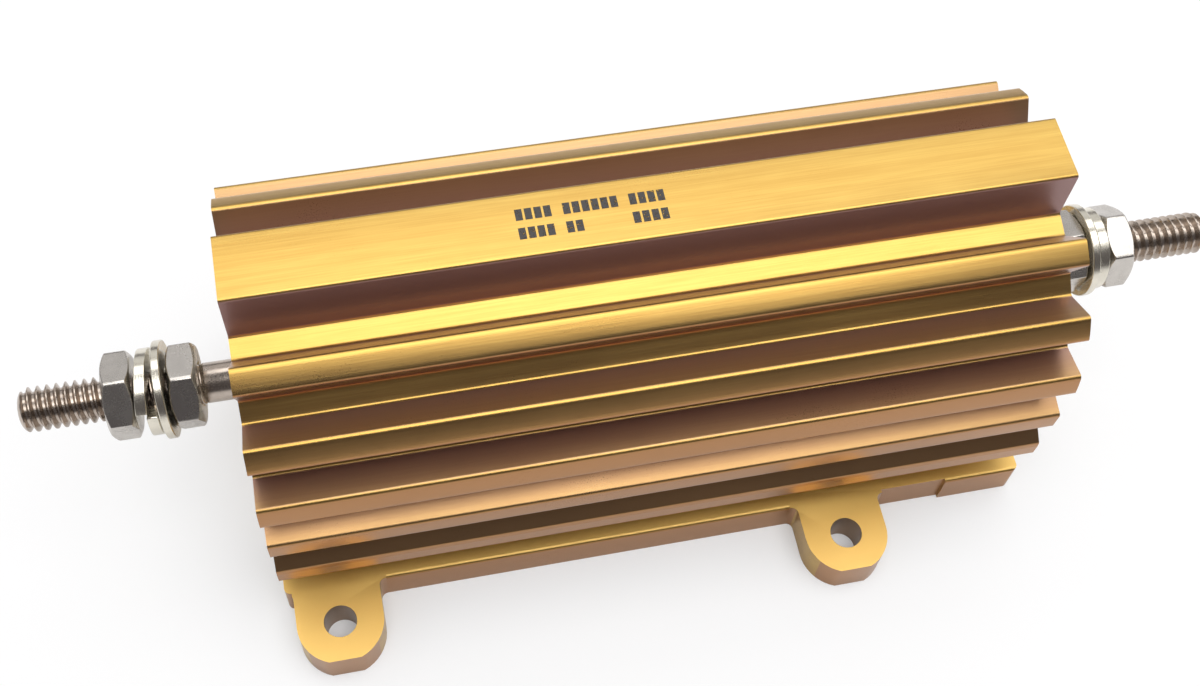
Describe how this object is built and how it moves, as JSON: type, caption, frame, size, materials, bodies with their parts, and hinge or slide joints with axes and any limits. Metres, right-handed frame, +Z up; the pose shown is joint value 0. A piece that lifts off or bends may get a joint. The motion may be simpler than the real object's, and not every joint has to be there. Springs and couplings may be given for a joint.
{
  "type": "aluminium housed power resistor",
  "caption": "Power resistor in a finned gold-anodised extruded aluminium housing, with mounting tabs and a threaded stud terminal at each end.",
  "frame": {"origin": "middle of the housing's base, on the mounting surface, midway between the terminal tips", "axes": "+X along the housing and the terminals, +Y across it away from the side seen in the reference view, +Z up from the base to the marking pad"},
  "size_m": [0.1766, 0.0716, 0.0587],
  "materials": {
    "gold_anodised": "satin gold anodising",
    "ceramic": "unglazed ceramic",
    "resistance_wire": "drawn wire",
    "silicone": "matt moulded silicone",
    "cap_steel": "pressed sheet",
    "stud_steel": "plated steel",
    "nut_steel": "plated steel",
    "washer_steel": "plated steel"
  },
  "bodies": {
    "root": {"housing": "gold_anodised", "ceramic_core": "ceramic", "winding_inner": "resistance_wire", "winding_outer": "resistance_wire", "end_cap_left": "cap_steel", "end_cap_right": "cap_steel", "terminal_stud_left": "stud_steel", "terminal_stud_right": "stud_steel", "silicone_moulding": "silicone", "end_bush_left": "ceramic", "end_bush_right": "ceramic", "inner_nut_left": "nut_steel", "outer_nut_left": "nut_steel", "flat_washer_left": "washer_steel", "spring_washer_left": "washer_steel", "inner_nut_right": "nut_steel", "outer_nut_right": "nut_steel", "flat_washer_right": "washer_steel", "spring_washer_right": "washer_steel"}
  },
  "joints": []
}
